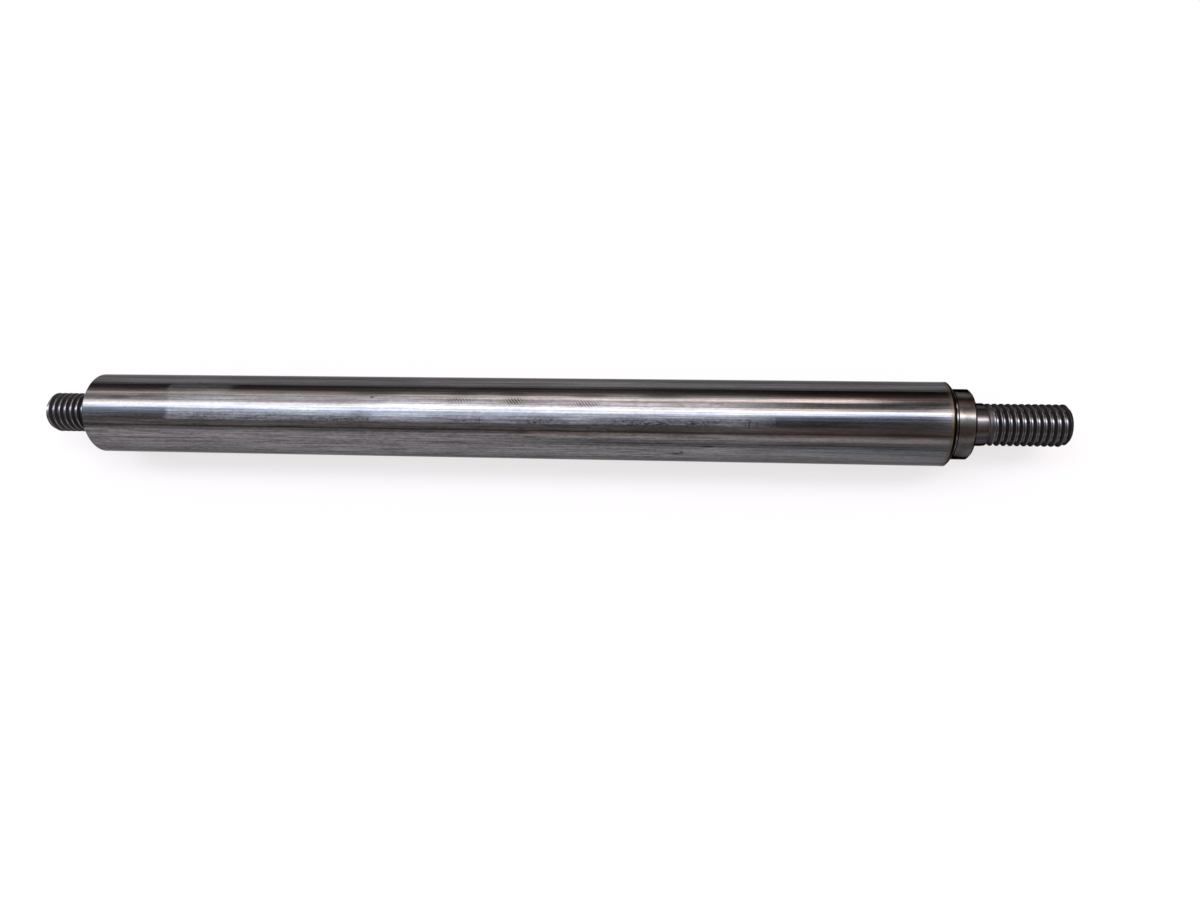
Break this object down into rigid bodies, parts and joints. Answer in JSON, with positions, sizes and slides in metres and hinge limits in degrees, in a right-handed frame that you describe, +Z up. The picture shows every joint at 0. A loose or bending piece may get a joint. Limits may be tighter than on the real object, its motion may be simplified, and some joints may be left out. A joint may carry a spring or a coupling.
{
  "type": "threaded shaft",
  "caption": "Turned and ground round steel shaft with a threaded stud at each end, one on a plain shoulder and one beyond a stepped collar and neck.",
  "frame": {"origin": "on the shaft's axis, halfway along the ground barrel", "axes": "+X along the axis towards the collar and the long stud, +Z up with the shaft lying on its barrel"},
  "size_m": [0.3206, 0.0254, 0.0254],
  "materials": {
    "ground_steel": "satin"
  },
  "bodies": {
    "root": {"shaft": "ground_steel"}
  },
  "joints": []
}
